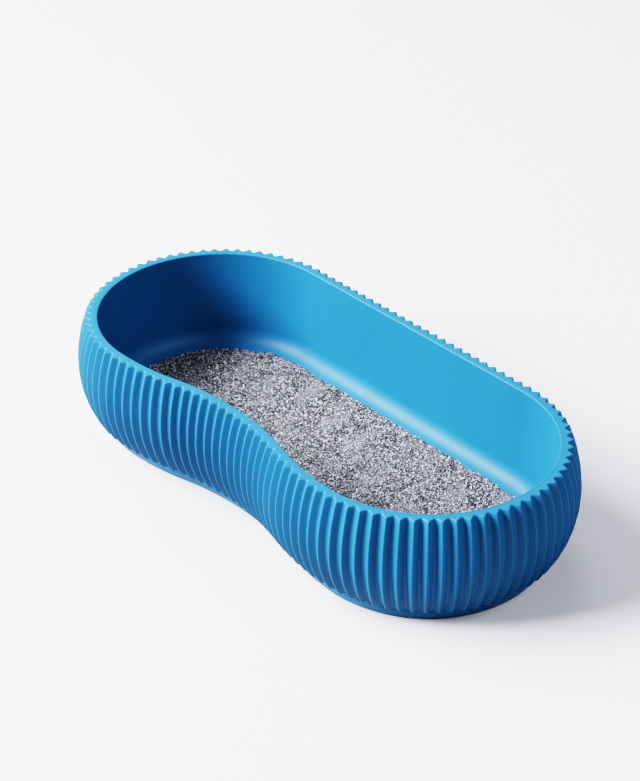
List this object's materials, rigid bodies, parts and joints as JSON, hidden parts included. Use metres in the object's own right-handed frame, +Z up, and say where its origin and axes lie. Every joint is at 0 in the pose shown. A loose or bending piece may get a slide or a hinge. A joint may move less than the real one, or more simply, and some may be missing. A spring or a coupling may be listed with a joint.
{
  "type": "cat litter tray",
  "caption": "Open kidney-shaped litter tray with a ribbed barrel-sided outer shell, a smooth lift-out inner pan and a bed of granular litter.",
  "frame": {"origin": "on the floor under the middle of the tray, level with the centres of its two round ends", "axes": "+X along the tray, +Y towards its straight back, +Z up out of the opening"},
  "size_m": [0.598, 0.292, 0.122],
  "materials": {
    "shell_plastic": "satin moulded blue plastic",
    "pan_plastic": "satin moulded blue plastic",
    "litter": "loose speckled mineral granules",
    "base_plastic": "matte moulded plastic",
    "screw_steel": "zinc plated",
    "foot_rubber": "matte rubber"
  },
  "bodies": {
    "casing": {"outer_shell": "shell_plastic", "base_plate": "base_plastic", "base_screws": "screw_steel", "foot_1": "foot_rubber", "foot_2": "foot_rubber", "foot_3": "foot_rubber", "foot_4": "foot_rubber", "foot_5": "foot_rubber", "foot_6": "foot_rubber"},
    "pan": {"inner_pan": "pan_plastic", "litter_bed": "litter"}
  },
  "joints": [
    {"name": "pan_lift", "type": "slide", "parent": "casing", "child": "pan", "axis": [0, 0, 1], "range_m": [0, 0.125]}
  ]
}
